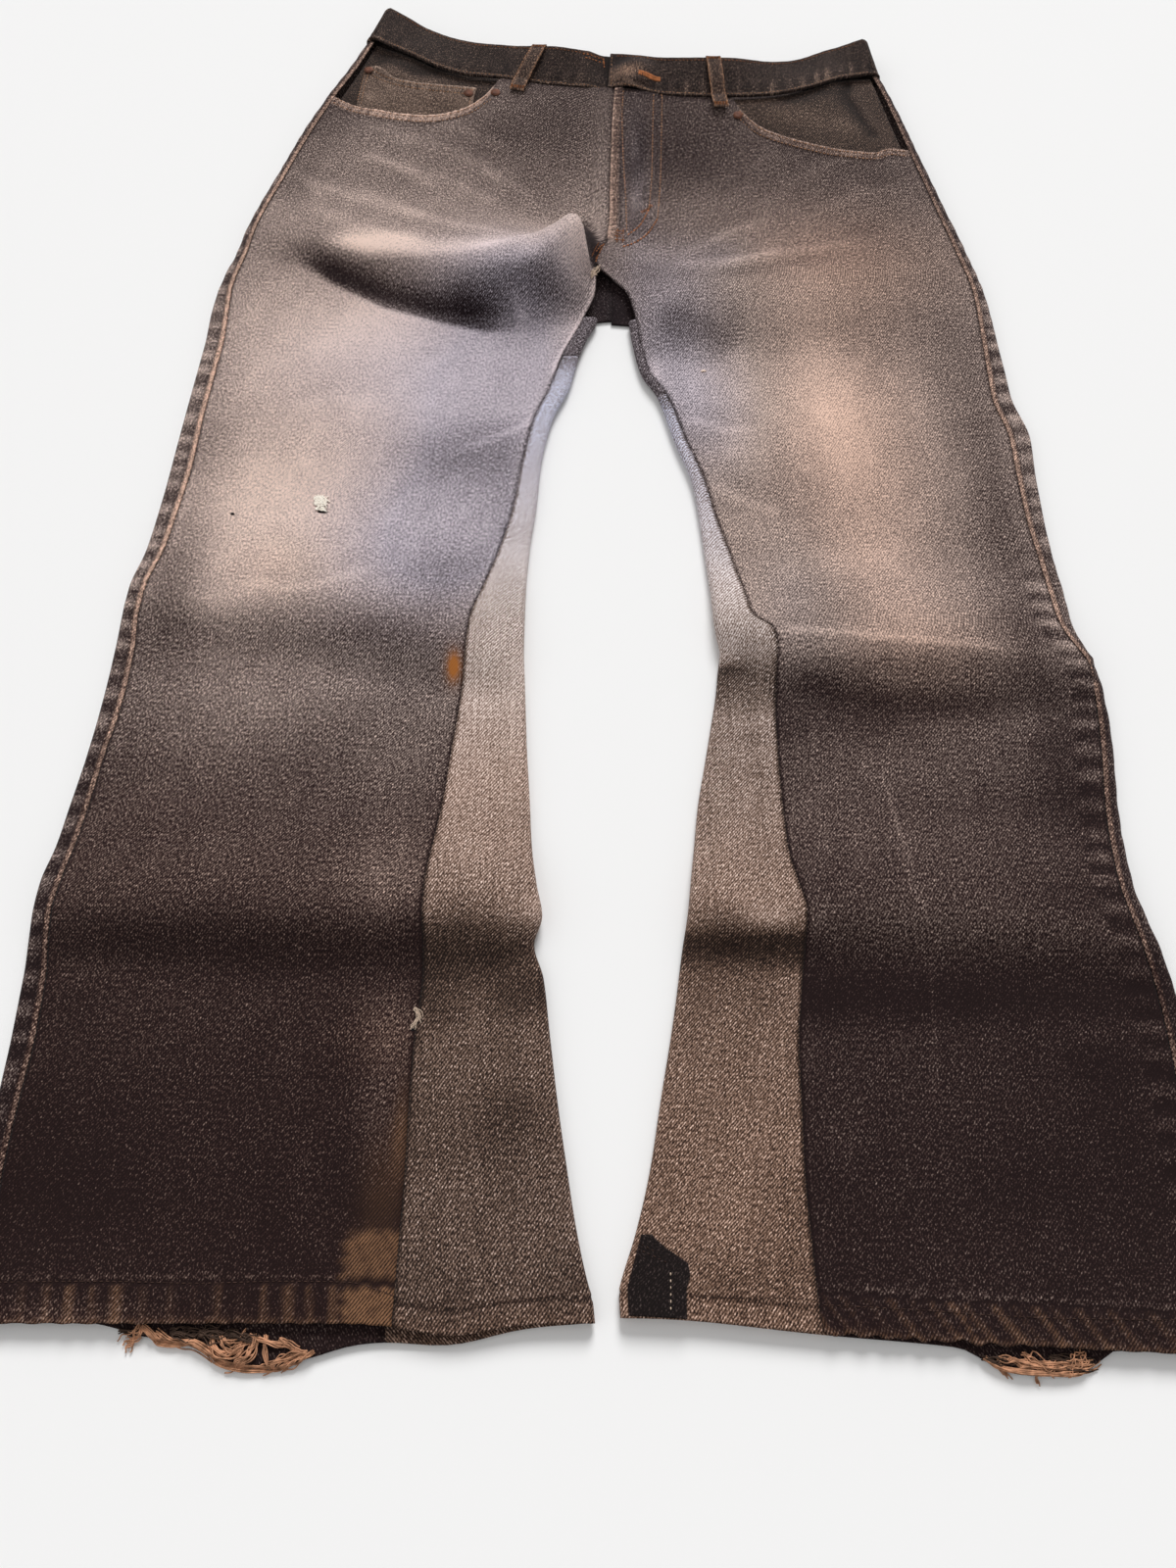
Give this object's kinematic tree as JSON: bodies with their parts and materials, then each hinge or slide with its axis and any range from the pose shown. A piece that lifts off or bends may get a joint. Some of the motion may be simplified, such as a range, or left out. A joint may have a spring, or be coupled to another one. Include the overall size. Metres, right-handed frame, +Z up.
{
  "type": "bootcut jeans",
  "caption": "Bootcut jeans laid flat on their back, with pale wedges let into the inseams below the knee, curved front pockets and torn, frayed back hems.",
  "frame": {"origin": "on the floor under the middle of the garment's bounding box", "axes": "+X across the garment towards the wearer's left leg, +Y along it from the hems to the waist, +Z up from the floor through the cloth"},
  "size_m": [0.721, 1.1344, 0.0442],
  "materials": {
    "washed_denim": "washed black-brown denim, faded at the thighs",
    "wedge_denim": "pale beige-grey denim",
    "facing_denim": "dark denim, little faded",
    "band_denim": "dark washed denim",
    "patch_denim": "near-black denim",
    "thread": "tan cotton thread",
    "zip_tape": "dark woven tape",
    "button_metal": "aged, hidden by the waistband",
    "rivet_metal": "rusted copper-brown"
  },
  "bodies": {
    "root": {"front_right": "washed_denim", "front_left": "washed_denim", "wedge_right": "wedge_denim", "wedge_left": "wedge_denim", "back_right": "washed_denim", "back_left": "washed_denim", "yoke_right": "washed_denim", "yoke_left": "washed_denim", "back_pocket_right": "washed_denim", "back_pocket_left": "washed_denim", "pocket_facing_right": "facing_denim", "pocket_facing_left": "facing_denim", "coin_pocket": "facing_denim", "waistband_right": "band_denim", "waistband_left": "band_denim", "waistband_back": "band_denim", "belt_loop_front_right": "band_denim", "belt_loop_front_left": "band_denim", "belt_loop_back_right": "band_denim", "belt_loop_back_centre": "band_denim", "belt_loop_back_left": "band_denim", "button": "button_metal", "rivet_coin_outer": "rivet_metal", "rivet_coin_inner": "rivet_metal", "rivet_pocket_left": "rivet_metal", "rivet_pocket_right": "rivet_metal", "zip_strip": "zip_tape", "patch_left": "patch_denim", "fray_right": "thread", "fray_left": "thread"}
  },
  "joints": []
}
